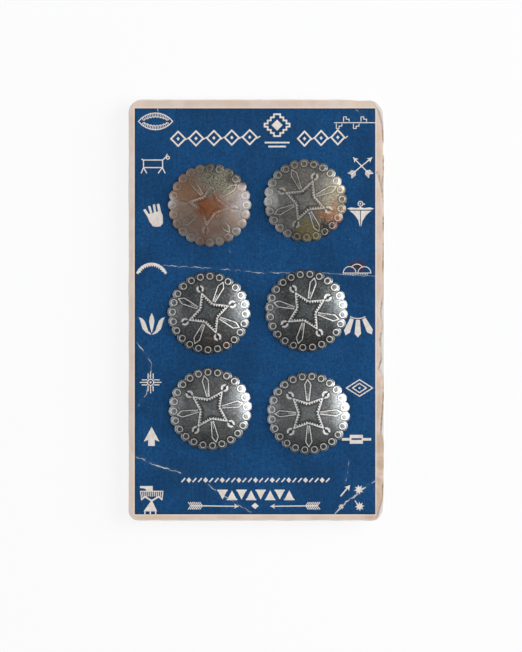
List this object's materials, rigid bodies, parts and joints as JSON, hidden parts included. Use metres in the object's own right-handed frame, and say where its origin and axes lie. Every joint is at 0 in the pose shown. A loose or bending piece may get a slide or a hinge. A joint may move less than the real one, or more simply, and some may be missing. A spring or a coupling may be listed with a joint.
{
  "type": "card of buttons",
  "caption": "Flat display card with a printed field, holding domed, scalloped, stamped metal shank buttons with split keeper pins at the back.",
  "frame": {"origin": "under the middle of the card, on the surface that the shank loops rest on", "axes": "+Y up the card's long side towards its top edge, +X to the right of the printed face, +Z out of the printed face"},
  "size_m": [0.078, 0.1282, 0.0074],
  "materials": {
    "board": "matte",
    "printed_paper": "satin",
    "nickel_silver": "antiqued",
    "loop_strap": "satin",
    "pin_wire": "satin"
  },
  "bodies": {
    "root": {"card": "board", "print_field": "printed_paper", "button_disc_top_left": "nickel_silver", "button_disc_top_right": "nickel_silver", "button_disc_middle_left": "nickel_silver", "button_disc_middle_right": "nickel_silver", "button_disc_bottom_left": "nickel_silver", "button_disc_bottom_right": "nickel_silver", "shank_loop_top_left": "loop_strap", "shank_loop_top_right": "loop_strap", "shank_loop_middle_left": "loop_strap", "shank_loop_middle_right": "loop_strap", "shank_loop_bottom_left": "loop_strap", "shank_loop_bottom_right": "loop_strap", "keeper_pin_top_left": "pin_wire", "keeper_pin_top_right": "pin_wire", "keeper_pin_middle_left": "pin_wire", "keeper_pin_middle_right": "pin_wire", "keeper_pin_bottom_left": "pin_wire", "keeper_pin_bottom_right": "pin_wire"}
  },
  "joints": []
}
